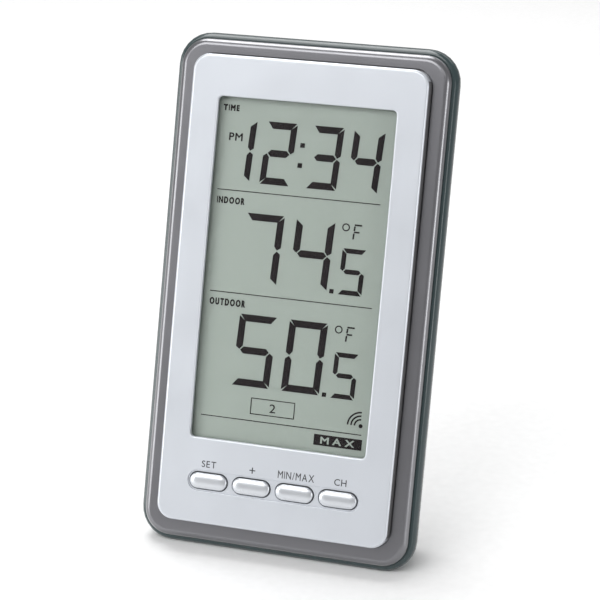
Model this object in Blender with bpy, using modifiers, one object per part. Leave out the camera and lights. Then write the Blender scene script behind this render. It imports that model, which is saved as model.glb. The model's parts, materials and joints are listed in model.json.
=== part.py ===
"""A digital maximum and minimum thermometer for the table or the wall: a silver face with a tall
liquid crystal display and four keys, in a two-part case with a flip-out stand and a battery door.

Everything is modelled in the case's own frame: X to the viewer's right, Y from the face into the
case, Z up the case, with the origin at the middle of the case's outline, level with the face.
The whole case then leans back on its stand, and stands on Z = 0 in the world's frame.
Sizes are in millimetres, turned into Blender's metres by MM.
"""

import math

import bmesh
import bpy
from mathutils import Matrix, Vector

MM = 0.001
GAP = 0.3 * MM  # between pieces that touch on the real object
OVERLAP = 0.4 * MM  # how far solids that are joined run into each other
PAST = 1.0 * MM  # how far a cutter reaches beyond what it cuts
HAIR = 0.01 * MM  # keeps the two arcs of a round end from meeting in one point

# Outline of the case
CASE_W = 80.1 * MM
CASE_H = 143.2 * MM
CASE_CORNER = 9.2 * MM
CASE_DEPTH = 23.5 * MM
LEAN = math.radians(15.0)
BEHIND = CASE_DEPTH + 3.0 * MM  # where cutters from the back start
FLOOR_TRIM = 0.2 * MM  # how much the table plane takes off the case and the stand

# Front bezel: a rounded frame, with a lip that stands inside the rear cover's rim
BEZEL_INSET = 1.8 * MM
BEZEL_FRONT = 3.6 * MM
BEZEL_BACK = 5.6 * MM
BEZEL_SHOULDER = 1.9 * MM
PLATE_BACK = 5.4 * MM
LIP_BACK = 8.8 * MM
LIP_THICKNESS = 0.95 * MM
PLATEAU_FRONT = 3.2 * MM  # the raised middle of the bezel, inside the face panel's skirt
GROOVE_FLOOR = 4.6 * MM  # the groove round it, which takes the skirt
BOARD_BOSS_R = 2.0 * MM
BOARD_PILOT_R = 1.1 * MM
PILOT_START = 5.9 * MM  # the screw holes stop short of the bezel's face

# Face panel
PANEL_W = 66.5 * MM
PANEL_H = 129.8 * MM
PANEL_CORNER = 4.5 * MM
PANEL_Z = 0.6 * MM
PANEL_WALL = 1.2 * MM
PANEL_BACK = GROOVE_FLOOR - GAP
PANEL_EDGE = 0.6 * MM

# Display
WINDOW_W = 50.4 * MM
WINDOW_H = 94.5 * MM
WINDOW_Z = 7.0 * MM
WINDOW_CORNER = 1.2 * MM
LENS_LAP = 1.8 * MM
LENS_T = 0.8 * MM
LENS_CORNER = 1.5 * MM
LENS_FRONT = PANEL_WALL + GAP
GLASS_T = 1.1 * MM
GLASS_W = 55.6 * MM
REAR_GLASS_W = GLASS_W - 0.1 * MM
FRONT_GLASS_H = 101.6 * MM
REAR_GLASS_H = 95.6 * MM
GLASS_FRONT = LENS_FRONT + LENS_T + GAP
REFLECTOR_FRONT = GLASS_FRONT + 2 * GLASS_T + GAP
REFLECTOR_T = 0.3 * MM
REFLECTOR_INSET = 1.0 * MM
FRAME_W = 58.8 * MM
FRAME_H = 104.6 * MM
FRAME_CORNER = 1.0 * MM
FRAME_OPENING_W = 48.0 * MM
FRAME_OPENING_H = 88.0 * MM
LCD_OPENING_W = GLASS_W + 1.0 * MM
LCD_OPENING_H = FRONT_GLASS_H + 1.0 * MM
ZEBRA_T = 1.8 * MM
ZEBRA_W = 52.0 * MM
ZEBRA_SLOT_MARGIN = 0.6 * MM
ZEBRA_OFFSET = (FRONT_GLASS_H + REAR_GLASS_H) / 4  # middle of the glass's contact ledge

# Keys
KEY_NAMES = ("set_key", "plus_key", "min_max_key", "channel_key")
KEY_PITCH = 12.45 * MM
KEY_Z = -52.3 * MM
KEY_W = 10.7 * MM
KEY_H = 4.4 * MM
KEY_TOP = -0.95 * MM
KEY_EDGE = 1.4 * MM
KEY_CLEARANCE = 0.3 * MM
KEY_TRAVEL = 0.8 * MM
FLANGE_W = 11.9 * MM
FLANGE_H = 6.2 * MM
FLANGE_T = 0.7 * MM
STEM_W = 5.0 * MM
STEM_H = 2.4 * MM
STEM_CLEARANCE = 1.0 * MM
CHANNEL_W = 49.4 * MM  # shallow recess that all four keys stand in
CHANNEL_H = 5.8 * MM
CHANNEL_DEPTH = 0.35 * MM
STEM_END = 4.8 * MM
DOME_TOP = STEM_END + KEY_TRAVEL + 0.1 * MM  # the domes are shaped as when pressed
DOME_TOP_R = 2.4 * MM
DOME_BASE_R = 3.4 * MM
MAT_W = 50.0 * MM
MAT_H = 9.0 * MM
MAT_T = 0.8 * MM
MAT_CORNER = 1.0 * MM

# Circuit board
BOARD_FRONT = 8.0 * MM
BOARD_T = 1.6 * MM
BOARD_BACK = BOARD_FRONT + BOARD_T
BOARD_W = 70.0 * MM
BOARD_H = 123.0 * MM
BOARD_CORNER = 1.5 * MM
BOARD_SCREWS = [(x * MM, z * MM) for x in (-32.8, 32.8) for z in (46.0, -50.0)]
BOARD_SCREW_HOLE_R = 1.2 * MM
BOARD_SCREW_HEAD_R = 1.9 * MM
BOARD_SCREW_HEAD_H = 1.2 * MM
BOARD_SCREW_SHANK_R = 0.85 * MM
BOARD_SCREW_LENGTH = 3.8 * MM
BOSS_CLEARANCE = 0.8 * MM
ON_BOARD = BOARD_BACK + GAP

# Parts on the board
CHIP_AT = (-23.0 * MM, -4.0 * MM)
CHIP_BASE_R = 5.5 * MM  # a blob of resin over the bare chip
CHIP_TOP_R = 3.6 * MM
CHIP_T = 1.5 * MM
CRYSTAL_AT = (-24.0 * MM, ON_BOARD + 1.1 * MM, 13.0 * MM)
CRYSTAL_R = 1.0 * MM
CRYSTAL_LENGTH = 6.0 * MM
HEADER_X = (18.0 * MM, 30.0 * MM)
HEADER_Y = (ON_BOARD, 11.9 * MM)
HEADER_Z = (9.5 * MM, 12.0 * MM)
RECEIVER_X = (16.5 * MM, 31.5 * MM)
RECEIVER_Y = (12.2 * MM, 13.2 * MM)
RECEIVER_Z = (8.0 * MM, 40.0 * MM)
COIL_AT = (25.0 * MM, 30.0 * MM)
COIL_Y = (13.5 * MM, 16.5 * MM)
COIL_R = 2.5 * MM
ANTENNA_R = 0.5 * MM
ANTENNA_ROUTE = [  # millimetres
    (19, 14.1, 38.5),
    (19, 13.9, 44),
    (15, 12.6, 51),
    (5, 12.2, 56.5),
    (-8, 12.2, 58),
    (-20, 12.2, 54),
    (-27.5, 12.2, 46),
    (-30, 12.2, 35),
]
WIRE_STEPS = 4

# Rear cover
COVER_FRONT = 5.9 * MM
COVER_WALL = 2.0 * MM
COVER_INSIDE = CASE_DEPTH - COVER_WALL
ROOM_CORNER = 0.8 * MM  # slanting corner between the cover's sides and back, inside
RIM_INSET = 1.5 * MM  # at its front; the rim swells from here to the case's outline
RIM_BACK = 8.6 * MM  # where the case is widest; behind it the sides taper at the angle of the lean
BACK_EDGE_R = 1.8 * MM
CASE_SCREWS = [(x * MM, z * MM) for x in (-30.3, 30.3) for z in (62.8, -62.8)]
BOSS_R = 2.9 * MM
BOSS_BACK = 13.5 * MM
POST_R = 4.2 * MM
COUNTERBORE_R = 3.0 * MM
SCREW_SEAT = 17.2 * MM
SCREW_HEAD_R = 2.6 * MM
SCREW_SHANK_R = 1.2 * MM
CASE_PILOT_R = SCREW_SHANK_R + 0.25 * MM
SCREW_HEAD_H = 1.8 * MM
SCREW_LENGTH = 11.0 * MM
VENT_COUNT = 5
VENT_PITCH = 3.0 * MM
VENT_AT = (-29.0 * MM, -40.0 * MM)
VENT_SIZE = (7.0 * MM, 1.3 * MM)
VENT_CORNER = 0.6 * MM
THERMISTOR_AT = (VENT_AT[0], VENT_AT[1] + 2 * VENT_PITCH)  # behind the middle vent
BEAD_R = 1.3 * MM
BEAD_Y = (14.3 * MM, 16.7 * MM)
LEAD_R = 0.25 * MM
LEAD_OFFSET = 0.7 * MM
KEYHOLE_Z = 50.0 * MM
KEYHOLE_R = 4.4 * MM
KEYHOLE_SLOT = 3.6 * MM
KEYHOLE_RISE = 7.5 * MM
KEYHOLE_FLOOR = 16.0 * MM  # the pocket that keeps the screw's head off the board
KEYHOLE_POCKET_FRONT = 14.6 * MM
KEYHOLE_WALL = 1.8 * MM
SHANK_CLEARANCE = 0.4 * MM

# Batteries, size AAA, side by side
CELL_R = 5.25 * MM
CELL_LENGTH = 44.5 * MM
CELL_X = 6.0 * MM
CELL_Y = 16.4 * MM
NUB_R = 1.9 * MM
NUB_H = 1.0 * MM
CELL_CRIMP = 0.5 * MM
TRAY_FLOOR = BOARD_BACK + GAP
CAVITY_FLOOR = 10.9 * MM
CAVITY_W = 24.6 * MM
CAVITY_BOTTOM = -22.0 * MM
CAVITY_TOP = 30.0 * MM
TRAY_WALL = 2.4 * MM
CONTACT_T = 0.5 * MM
CONTACT_W = 10.0 * MM
CONTACT_H = 7.0 * MM
CONTACT_Y = (CELL_Y - CONTACT_H / 2 - 0.6 * MM, CELL_Y + CONTACT_H / 2 - 0.6 * MM)
TAIL_HALF_W = 1.0 * MM
TAIL_Y = (13.0 * MM, 13.6 * MM)
TAIL_ROOT = 0.6 * MM
TAIL_RISE = 4.0 * MM
TAIL_CLEARANCE = 0.3 * MM
SPRING_LENGTH = 5.0 * MM
SPRING_WIRE_R = 0.3 * MM
SPRING_TURNS = 4
SPRING_STEPS = 12  # points per turn
SPRING_BASE_R = 3.6 * MM
SPRING_TIP_R = 2.2 * MM
SPRING_Y = CELL_Y - 0.2 * MM
WIRE_R = 0.6 * MM
WIRE_END_X = 13.0 * MM

# Battery door
DOOR_T = 1.5 * MM
DOOR_FRONT = CASE_DEPTH - DOOR_T
DOOR_MARGIN = 1.6 * MM  # how far the door's opening passes the battery cavity
HOOK_X = 7.0 * MM
HOOK_W = 4.0 * MM
HOOK_Y = (20.2 * MM, 21.2 * MM)
LATCH_W = 8.4 * MM  # springy tongue at the door's top edge
LATCH_H = 7.0 * MM
LATCH_SLIT = 0.8 * MM
HOOK_REACH = 1.5 * MM
HOOK_CLEARANCE = 0.4 * MM
HOOK_SWING = 0.9 * MM  # room in front of the hooks as they turn with the door
HOOK_SLOT_Z = (CAVITY_BOTTOM - TRAY_WALL - 1.2 * MM, CAVITY_BOTTOM + 0.2 * MM)
LATCH_NOTCH_Z = (CAVITY_TOP - 0.2 * MM, CAVITY_TOP + DOOR_MARGIN + 1.6 * MM)
HOOK_RISER = (0.1 * MM, 1.3 * MM)  # above the door's lower edge
CATCH_WEB = (1.6 * MM, 0.4 * MM)  # below the door's upper edge
CATCH_REACH = 1.1 * MM

# Fold-out stand: a flat leg hinged at its top, whose end is part of the case's bottom edge
STAND_W = 40.4 * MM
STAND_T = 2.6 * MM
STAND_HEEL = 3.0 * MM  # above the axis; it meets the floor of its pocket when the leg is open
STAND_AXIS_Y = CASE_DEPTH - GAP - STAND_T / 2
STAND_AXIS_Z = -30.5 * MM
STAND_PIN_R = 1.0 * MM
STAND_PIN_REACH = 1.3 * MM
RECESS_GAP = 0.4 * MM
RECESS_FLOOR = STAND_AXIS_Y - STAND_T / 2 - GAP
RECESS_WALL = 1.6 * MM
RECESS_SIDE_WALL = 2.2 * MM
RECESS_BOTTOM = -CASE_H / 2 + 4.4 * MM
HEEL_POCKET_DEPTH = 2.4 * MM  # below the axis, with its wall
THUMB_NOTCH_R = 6.0 * MM
THUMB_NOTCH_Z = -70.0 * MM

# Cross recess in the screws' heads
CROSS_HALF_W = 0.25 * MM
CROSS_DEPTH = 0.6 * MM

ROUND_SIDES = 24
CORNER_STEPS = 7
RIM_STEPS = 5
BACK_EDGE_STEPS = 4


# ---------------------------------------------------------------- scene and materials


def clear_scene():
    for obj in list(bpy.data.objects):
        bpy.data.objects.remove(obj, do_unlink=True)


def new_collection(name):
    collection = bpy.data.collections.new(name)
    bpy.context.scene.collection.children.link(collection)
    return collection


def new_material(name, colour, roughness, metallic=0.0):
    material = bpy.data.materials.new(name)
    material.use_nodes = True
    shader = material.node_tree.nodes["Principled BSDF"]
    shader.inputs["Base Color"].default_value = (*colour, 1.0)
    shader.inputs["Roughness"].default_value = roughness
    shader.inputs["Metallic"].default_value = metallic
    material.diffuse_color = (*colour, 1.0)
    return material


def new_empty(name, parent=None, location=(0, 0, 0), turn_x=0.0):
    empty = bpy.data.objects.new(name, None)
    parts.objects.link(empty)
    empty.parent = parent
    empty.location = location
    empty.rotation_euler.x = turn_x
    return empty


def place(obj, name, material, parent):
    """Makes obj a piece of the thermometer."""
    obj.name = name
    obj.data.name = name
    parts.objects.link(obj)
    obj.parent = parent or case
    obj.data.materials.append(material)
    if obj.type == "MESH":
        obj.data.shade_smooth()
        obj.data.set_sharp_from_angle(angle=math.radians(35))
    return obj


# ---------------------------------------------------------------- shapes


def object_from(bm, name="shape"):
    mesh = bpy.data.meshes.new(name)
    bm.to_mesh(mesh)
    bm.free()
    return bpy.data.objects.new(name, mesh)


def edges_at(bm, y):
    return [e for e in bm.edges if all(abs(v.co.y - y) < 1e-7 for v in e.verts)]


def round_edges(bm, edges, radius, steps):
    bmesh.ops.bevel(
        bm, geom=edges, offset=radius, segments=steps, profile=0.5, affect="EDGES", clamp_overlap=False
    )


def rounded_mesh(width, height, y_range, corner=0.0, front=0.0, steps=CORNER_STEPS, edge_steps=4):
    """A slab with rounded corners in its outline, and a rounded edge round its front face."""
    bm = bmesh.new()
    bmesh.ops.create_cube(bm, size=1.0)
    low, high = y_range
    bmesh.ops.scale(bm, vec=(width, high - low, height), verts=bm.verts)
    bmesh.ops.translate(bm, vec=(0, (low + high) / 2, 0), verts=bm.verts)
    if corner:
        upright = [e for e in bm.edges if abs(e.verts[0].co.y - e.verts[1].co.y) > 1e-7]
        round_edges(bm, upright, corner, steps)
    if front:
        round_edges(bm, edges_at(bm, low), front, edge_steps)
    return bm


def slab(width, height, y_range, at=(0, 0), **rounding):
    """A rounded slab as an object, with its middle at (x, z)."""
    bm = rounded_mesh(width, height, y_range, **rounding)
    bmesh.ops.translate(bm, vec=(at[0], 0, at[1]), verts=bm.verts)
    return object_from(bm)


def box(x_range, y_range, z_range):
    at = (sum(x_range) / 2, sum(z_range) / 2)
    return slab(x_range[1] - x_range[0], z_range[1] - z_range[0], y_range, at=at)


def rod(radius, y_range, at, end_radius=None, sides=ROUND_SIDES):
    """A cylinder or cone along Y; end_radius is the radius at the far end."""
    bm = bmesh.new()
    end_radius = radius if end_radius is None else end_radius
    length = y_range[1] - y_range[0]
    bmesh.ops.create_cone(
        bm, cap_ends=True, segments=sides, radius1=radius, radius2=end_radius, depth=length
    )
    quarter_turn = Matrix.Rotation(math.radians(-90), 3, "X")
    bmesh.ops.rotate(bm, cent=(0, 0, 0), matrix=quarter_turn, verts=bm.verts)
    bmesh.ops.translate(bm, vec=(at[0], sum(y_range) / 2, at[1]), verts=bm.verts)
    return object_from(bm)


def bar_x(radius, length, y, z, sides=ROUND_SIDES):
    """A cylinder along X, with its middle at x = 0."""
    bm = bmesh.new()
    bmesh.ops.create_cone(bm, cap_ends=True, segments=sides, radius1=radius, radius2=radius, depth=length)
    bmesh.ops.rotate(bm, cent=(0, 0, 0), matrix=Matrix.Rotation(math.radians(90), 3, "Y"), verts=bm.verts)
    bmesh.ops.translate(bm, vec=(0, y, z), verts=bm.verts)
    return object_from(bm)


def inset_outline(inset):
    """Points round the case's outline, drawn in by inset."""
    points = []
    for quarter, (side_x, side_z) in enumerate(((1, 1), (-1, 1), (-1, -1), (1, -1))):
        for step in range(CORNER_STEPS + 1):
            angle = math.pi / 2 * (quarter + step / CORNER_STEPS)
            x = side_x * (CASE_W / 2 - CASE_CORNER) + (CASE_CORNER - inset) * math.cos(angle)
            z = side_z * (CASE_H / 2 - CASE_CORNER) + (CASE_CORNER - inset) * math.sin(angle)
            points.append((x, z))
    return points


def lofted(profile):
    """A solid through the case's outline drawn in by each inset of the profile, at its depth."""
    bm = bmesh.new()
    rings = [[bm.verts.new((x, y, z)) for x, z in inset_outline(inset)] for inset, y in profile]
    for near, far in zip(rings, rings[1:]):
        for quad in zip(near, near[1:] + near[:1], far[1:] + far[:1], far):
            bm.faces.new(quad)
    bm.faces.new(rings[0])
    bm.faces.new(rings[-1])
    bmesh.ops.recalc_face_normals(bm, faces=bm.faces)
    return object_from(bm)


def open_shell(bm, open_y, wall):
    """Drops the face at open_y and gives the rest a wall on its inner side."""
    flat = [f for f in bm.faces if all(abs(v.co.y - open_y) < 1e-7 for v in f.verts)]
    bmesh.ops.delete(bm, geom=flat, context="FACES")
    shell = object_from(bm)
    solidify = shell.modifiers.new("wall", "SOLIDIFY")
    solidify.thickness = wall
    solidify.offset = -1.0
    solidify.use_even_offset = True
    return shell


def turned(profile, sides=ROUND_SIDES):
    """A solid turned round Z, from (radius, height) points that run from top to bottom."""
    bm = bmesh.new()
    points = [bm.verts.new((radius, 0, height)) for radius, height in profile]
    for first, second in zip(points, points[1:]):
        bm.edges.new((first, second))
    obj = object_from(bm)
    screw = obj.modifiers.new("turn", "SCREW")
    screw.axis = "Z"
    screw.steps = sides
    screw.render_steps = sides
    screw.use_merge_vertices = True
    screw.merge_threshold = 0.01 * MM
    return obj


def tube(points, radius, resolution=2):
    """A round wire through the points, with filled ends."""
    curve = bpy.data.curves.new("wire", "CURVE")
    curve.dimensions = "3D"
    curve.bevel_depth = radius
    curve.bevel_resolution = resolution
    curve.use_fill_caps = True
    spline = curve.splines.new("POLY")
    spline.points.add(len(points) - 1)
    for point, co in zip(spline.points, points):
        point.co = (*co, 1.0)
    return bpy.data.objects.new("wire", curve)


def smooth_route(corners, steps=6):
    """Points along a Catmull-Rom curve through the corners."""
    ends = [2 * Vector(corners[0]) - Vector(corners[1]), 2 * Vector(corners[-1]) - Vector(corners[-2])]
    knots = [ends[0], *map(Vector, corners), ends[1]]
    route = []
    for a, b, c, d in zip(knots, knots[1:], knots[2:], knots[3:]):
        for step in range(steps):
            t = step / steps
            bend = (2 * a - 5 * b + 4 * c - d) * t * t + (3 * b - a - 3 * c + d) * t**3
            route.append((2 * b + (c - a) * t + bend) / 2)
    route.append(Vector(corners[-1]))
    return route


def as_helper(obj):
    """Puts a tool for a Boolean out of sight, in the cutters' collection."""
    cutters.objects.link(obj)
    obj.parent = obj.parent or case
    obj.hide_render = True
    obj.display_type = "WIRE"
    return obj


def combine(target, tool, operation):
    modifier = target.modifiers.new(operation.lower(), "BOOLEAN")
    modifier.operation = operation
    modifier.solver = "EXACT"
    modifier.object = as_helper(tool)
    return target


def cut(target, *tools):
    for tool in tools:
        combine(target, tool, "DIFFERENCE")
    return target


def join(target, *tools):
    for tool in tools:
        combine(target, tool, "UNION")
    return target


# ---------------------------------------------------------------- front of the case


def key_x(index):
    return (index - (len(KEY_NAMES) - 1) / 2) * KEY_PITCH


def build_front_bezel():
    width, height = CASE_W - 2 * BEZEL_INSET, CASE_H - 2 * BEZEL_INSET
    corner = CASE_CORNER - BEZEL_INSET
    front_range = (BEZEL_FRONT, BEZEL_BACK)
    bezel = slab(width, height, front_range, corner=corner, front=BEZEL_SHOULDER, edge_steps=6)
    lip_inset = COVER_WALL + GAP
    lip_w, lip_h = CASE_W - 2 * lip_inset, CASE_H - 2 * lip_inset
    lip_corner = CASE_CORNER - lip_inset
    join(bezel, slab(lip_w, lip_h, (BEZEL_BACK - OVERLAP, LIP_BACK), corner=lip_corner))
    hollow_w, hollow_h = lip_w - 2 * LIP_THICKNESS, lip_h - 2 * LIP_THICKNESS
    hollow_corner = lip_corner - LIP_THICKNESS
    cut(bezel, slab(hollow_w, hollow_h, (PLATE_BACK, LIP_BACK + PAST), corner=hollow_corner))
    at_panel = (0, PANEL_Z)
    pocket_w, pocket_h = PANEL_W + 2 * GAP, PANEL_H + 2 * GAP
    cut(bezel, slab(pocket_w, pocket_h, (0, GROOVE_FLOOR), at=at_panel, corner=PANEL_CORNER + GAP))
    skirt = PANEL_WALL + GAP
    plateau_size = (PANEL_W - 2 * skirt, PANEL_H - 2 * skirt)
    plateau_range = (PLATEAU_FRONT, PLATE_BACK - OVERLAP / 2)
    join(bezel, slab(*plateau_size, plateau_range, at=at_panel, corner=PANEL_CORNER - skirt))
    through = (0, PLATE_BACK + PAST)
    cut(bezel, slab(LCD_OPENING_W, LCD_OPENING_H, through, at=(0, WINDOW_Z)))
    for index in range(len(KEY_NAMES)):
        hole_size = (STEM_W + 2 * STEM_CLEARANCE, STEM_H + 2 * STEM_CLEARANCE)
        cut(bezel, slab(*hole_size, through, at=(key_x(index), KEY_Z)))
    root = PLATE_BACK - OVERLAP
    for at in CASE_SCREWS:
        join(bezel, rod(BOSS_R, (root, BOSS_BACK), at))
        cut(bezel, rod(CASE_PILOT_R, (PILOT_START, BOSS_BACK + PAST), at, sides=12))
    for at in BOARD_SCREWS:
        join(bezel, rod(BOARD_BOSS_R, (root, BOARD_FRONT - GAP), at, sides=16))
        cut(bezel, rod(BOARD_PILOT_R, (PILOT_START, BOARD_FRONT + PAST), at, sides=12))
    return place(bezel, "front_bezel", gunmetal, case)


def build_face_panel():
    outside = rounded_mesh(
        PANEL_W, PANEL_H, (0, PANEL_BACK), corner=PANEL_CORNER, front=PANEL_EDGE, edge_steps=3
    )
    bmesh.ops.translate(outside, vec=(0, 0, PANEL_Z), verts=outside.verts)
    panel = open_shell(outside, PANEL_BACK, PANEL_WALL)
    through = (-PAST, PANEL_WALL + OVERLAP)
    cut(panel, slab(WINDOW_W, WINDOW_H, through, at=(0, WINDOW_Z), corner=WINDOW_CORNER, steps=3))
    channel = (-PAST, CHANNEL_DEPTH)
    cut(panel, slab(CHANNEL_W, CHANNEL_H, channel, at=(0, KEY_Z), corner=CHANNEL_H / 2 - HAIR))
    hole_w, hole_h = KEY_W + 2 * KEY_CLEARANCE, KEY_H + 2 * KEY_CLEARANCE
    for index in range(len(KEY_NAMES)):
        cut(panel, slab(hole_w, hole_h, through, at=(key_x(index), KEY_Z), corner=hole_h / 2 - HAIR))
    return place(panel, "face_panel", silver, case)


def build_key(index, name):
    """A capsule-shaped key cap, with the flange that keeps it behind the panel and its stem."""
    x = key_x(index)
    flange_front = PANEL_WALL + GAP
    cap_range = (KEY_TOP, flange_front + FLANGE_T / 2)
    cap = slab(KEY_W, KEY_H, cap_range, corner=KEY_H / 2 - HAIR, front=KEY_EDGE, edge_steps=5)
    flange_range = (flange_front, flange_front + FLANGE_T)
    flange = slab(FLANGE_W, FLANGE_H, flange_range, at=(x, KEY_Z), corner=FLANGE_H / 3, steps=4)
    stem = slab(STEM_W, STEM_H, (flange_front + FLANGE_T / 2, STEM_END), at=(x, KEY_Z))
    cap.location = (x, 0, KEY_Z)
    join(cap, flange, stem)
    return place(cap, name, silver, case)


def build_keypad():
    """The rubber mat under the keys, with a dome for each."""
    mat_back = BOARD_FRONT - GAP
    mat = slab(MAT_W, MAT_H, (mat_back - MAT_T, mat_back), at=(0, KEY_Z), corner=MAT_CORNER, steps=2)
    for index in range(len(KEY_NAMES)):
        at = (key_x(index), KEY_Z)
        dome = rod(DOME_TOP_R, (DOME_TOP, mat_back - MAT_T / 2), at, DOME_BASE_R, sides=20)
        join(mat, dome)
    return place(mat, "keypad", rubber, case)


# ---------------------------------------------------------------- display


def build_display():
    at = (0, WINDOW_Z)
    lens_w, lens_h = WINDOW_W + 2 * LENS_LAP, WINDOW_H + 2 * LENS_LAP
    lens = slab(lens_w, lens_h, (LENS_FRONT, LENS_FRONT + LENS_T), at=at, corner=LENS_CORNER, steps=3)
    place(lens, "window_lens", clear_acrylic, case)
    seam = GLASS_FRONT + GLASS_T
    glass = slab(GLASS_W, FRONT_GLASS_H, (GLASS_FRONT, seam), at=at)
    join(glass, slab(REAR_GLASS_W, REAR_GLASS_H, (seam - OVERLAP, seam + GLASS_T), at=at))
    place(glass, "lcd_panel", lcd_glass, case)
    reflector_range = (REFLECTOR_FRONT, REFLECTOR_FRONT + REFLECTOR_T)
    reflector_size = (GLASS_W - 2 * REFLECTOR_INSET, REAR_GLASS_H - REFLECTOR_INSET)
    reflector = slab(*reflector_size, reflector_range, at=at)
    place(reflector, "lcd_reflector", lcd_back, case)
    frame_front = REFLECTOR_FRONT + REFLECTOR_T + GAP
    frame_back = BOARD_FRONT - GAP
    frame = slab(FRAME_W, FRAME_H, (frame_front, frame_back), at=at, corner=FRAME_CORNER, steps=2)
    through = (frame_front - PAST, frame_back + PAST)
    cut(frame, slab(FRAME_OPENING_W, FRAME_OPENING_H, through, at=at))
    zebra_range = (seam + GAP, frame_back)
    slot_size = (ZEBRA_W + 2 * ZEBRA_SLOT_MARGIN, ZEBRA_T + 2 * ZEBRA_SLOT_MARGIN)
    for name, side in (("zebra_strip_upper", 1), ("zebra_strip_lower", -1)):
        strip_at = (0, WINDOW_Z + side * ZEBRA_OFFSET)
        cut(frame, slab(*slot_size, through, at=strip_at))
        place(slab(ZEBRA_W, ZEBRA_T, zebra_range, at=strip_at), name, zebra_rubber, case)
    place(frame, "lcd_frame", black_plastic, case)


# ---------------------------------------------------------------- electronics


def build_main_board():
    through = (BOARD_FRONT - PAST, BOARD_BACK + PAST)
    board = slab(BOARD_W, BOARD_H, (BOARD_FRONT, BOARD_BACK), corner=BOARD_CORNER, steps=2)
    for at in CASE_SCREWS:
        cut(board, rod(BOSS_R + BOSS_CLEARANCE, through, at, sides=20))
    for at in BOARD_SCREWS:
        cut(board, rod(BOARD_SCREW_HOLE_R, through, at, sides=12))
    place(board, "main_board", board_green, case)


def build_board_parts():
    chip = rod(CHIP_BASE_R, (ON_BOARD, ON_BOARD + CHIP_T), CHIP_AT, CHIP_TOP_R, sides=20)
    place(chip, "controller_chip", black_plastic, case)

    half = CRYSTAL_LENGTH / 2
    crystal = turned([(0, half), (CRYSTAL_R, half), (CRYSTAL_R, -half), (0, -half)], sides=12)
    crystal.location = CRYSTAL_AT
    place(crystal, "clock_crystal", nickel, case)

    place(box(HEADER_X, HEADER_Y, HEADER_Z), "receiver_header", black_plastic, case)
    place(box(RECEIVER_X, RECEIVER_Y, RECEIVER_Z), "receiver_board", board_green, case)
    place(rod(COIL_R, COIL_Y, COIL_AT, sides=16), "receiver_coil", copper, case)

    route = smooth_route([Vector(corner) * MM for corner in ANTENNA_ROUTE], steps=WIRE_STEPS)
    place(tube(route, ANTENNA_R), "antenna_wire", black_wire, case)


def build_thermistor():
    """The indoor sensor: a bead on two stiff leads, held up behind the vents."""
    bead = rod(BEAD_R, BEAD_Y, THERMISTOR_AT, sides=16)
    for side in (-1, 1):
        lead_at = (THERMISTOR_AT[0] + side * LEAD_OFFSET, THERMISTOR_AT[1])
        join(bead, rod(LEAD_R, (ON_BOARD, sum(BEAD_Y) / 2), lead_at, sides=8))
    place(bead, "thermistor", black_plastic, case)


# ---------------------------------------------------------------- batteries and contacts


def build_cell(name, x, z_nub, up):
    """An AAA cell turned round Z, with its nub end at z_nub; up is 1 if the nub points up."""
    crimped_r = CELL_R - CELL_CRIMP
    profile = [(0, 0), (NUB_R, 0), (NUB_R, -NUB_H), (crimped_r, -NUB_H)]
    profile += [(CELL_R, -NUB_H - CELL_CRIMP), (CELL_R, -CELL_LENGTH + CELL_CRIMP)]
    profile += [(crimped_r, -CELL_LENGTH), (0, -CELL_LENGTH)]
    cell = turned(profile)
    cell.location = (x, CELL_Y, z_nub)
    if up < 0:
        cell.rotation_euler.x = math.pi
    place(cell, name, battery_jacket, case)


def contact_plate(z_near, z_far, x_range):
    return box(x_range, CONTACT_Y, (min(z_near, z_far), max(z_near, z_far)))


def contact_tail(x):
    """The tab that takes a contact through the tray's end wall to its wire."""
    z_range = (CAVITY_TOP - TAIL_ROOT, CAVITY_TOP + TAIL_RISE)
    return box((x - TAIL_HALF_W, x + TAIL_HALF_W), TAIL_Y, z_range)


def spring_route(x, z_base, direction):
    """A coil that narrows towards the cell."""
    wire_room = SPRING_LENGTH - 2 * SPRING_WIRE_R
    points = []
    for step in range(SPRING_TURNS * SPRING_STEPS + 1):
        share = step / (SPRING_TURNS * SPRING_STEPS)
        angle = share * SPRING_TURNS * 2 * math.pi
        radius = SPRING_BASE_R + (SPRING_TIP_R - SPRING_BASE_R) * share
        z = z_base + direction * (SPRING_WIRE_R + wire_room * share)
        points.append((x + radius * math.cos(angle), SPRING_Y + radius * math.sin(angle), z))
    return points


def build_batteries():
    """The left cell points up and the right one down, joined in series by the bridge below."""
    half = CONTACT_W / 2
    bottom_plate = (CAVITY_BOTTOM + GAP, CAVITY_BOTTOM + GAP + CONTACT_T)
    top_plate = (CAVITY_TOP - GAP - CONTACT_T, CAVITY_TOP - GAP)
    build_cell("battery_left", -CELL_X, top_plate[0] - GAP, up=1)
    build_cell("battery_right", CELL_X, bottom_plate[1] + GAP, up=-1)

    bridge = contact_plate(*bottom_plate, (-CELL_X - half, CELL_X + half))
    place(bridge, "contact_bridge", nickel, case)
    positive = contact_plate(*top_plate, (-CELL_X - half, -CELL_X + half))
    place(join(positive, contact_tail(-CELL_X)), "contact_positive", nickel, case)
    negative = contact_plate(*top_plate, (CELL_X - half, CELL_X + half))
    place(join(negative, contact_tail(CELL_X)), "contact_negative", nickel, case)

    bridge_spring = tube(spring_route(-CELL_X, bottom_plate[1] + GAP, 1), SPRING_WIRE_R, 1)
    place(bridge_spring, "spring_bridge", nickel, case)
    negative_spring = tube(spring_route(CELL_X, top_plate[0] - GAP, -1), SPRING_WIRE_R, 1)
    place(negative_spring, "spring_negative", nickel, case)


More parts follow.
